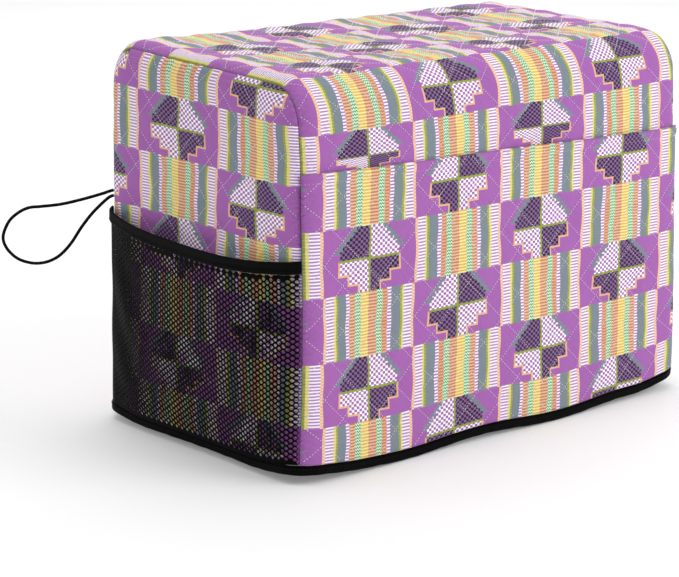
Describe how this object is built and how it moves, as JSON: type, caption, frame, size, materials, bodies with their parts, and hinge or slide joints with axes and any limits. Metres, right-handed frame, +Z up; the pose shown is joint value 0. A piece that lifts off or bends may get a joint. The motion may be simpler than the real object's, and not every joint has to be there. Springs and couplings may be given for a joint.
{
  "type": "sewing machine cover",
  "caption": "Fitted box-shaped quilted cloth cover, open underneath, with a front pocket, a net pocket on one end, a bound hem and an elastic cord loop.",
  "frame": {"origin": "middle of the underside of the top, where the covered machine bears on the cloth", "axes": "+Z up, the front pocket faces -Y, the net pocket is on the -X end"},
  "size_m": [0.5026, 0.3152, 0.323],
  "materials": {
    "quilted_cloth": "printed quilted polyester, matt",
    "pocket_cloth": "printed quilted polyester, matt",
    "net": "black polyester net",
    "tape": "black woven tape",
    "elastic": "black braided round elastic"
  },
  "bodies": {
    "root": {"wrap_panel": "quilted_cloth", "left_side_panel": "quilted_cloth", "right_side_panel": "quilted_cloth", "front_pocket": "pocket_cloth", "mesh_pocket": "net", "mesh_pocket_binding": "tape", "hem_binding": "tape", "elastic_loop": "elastic"}
  },
  "joints": []
}
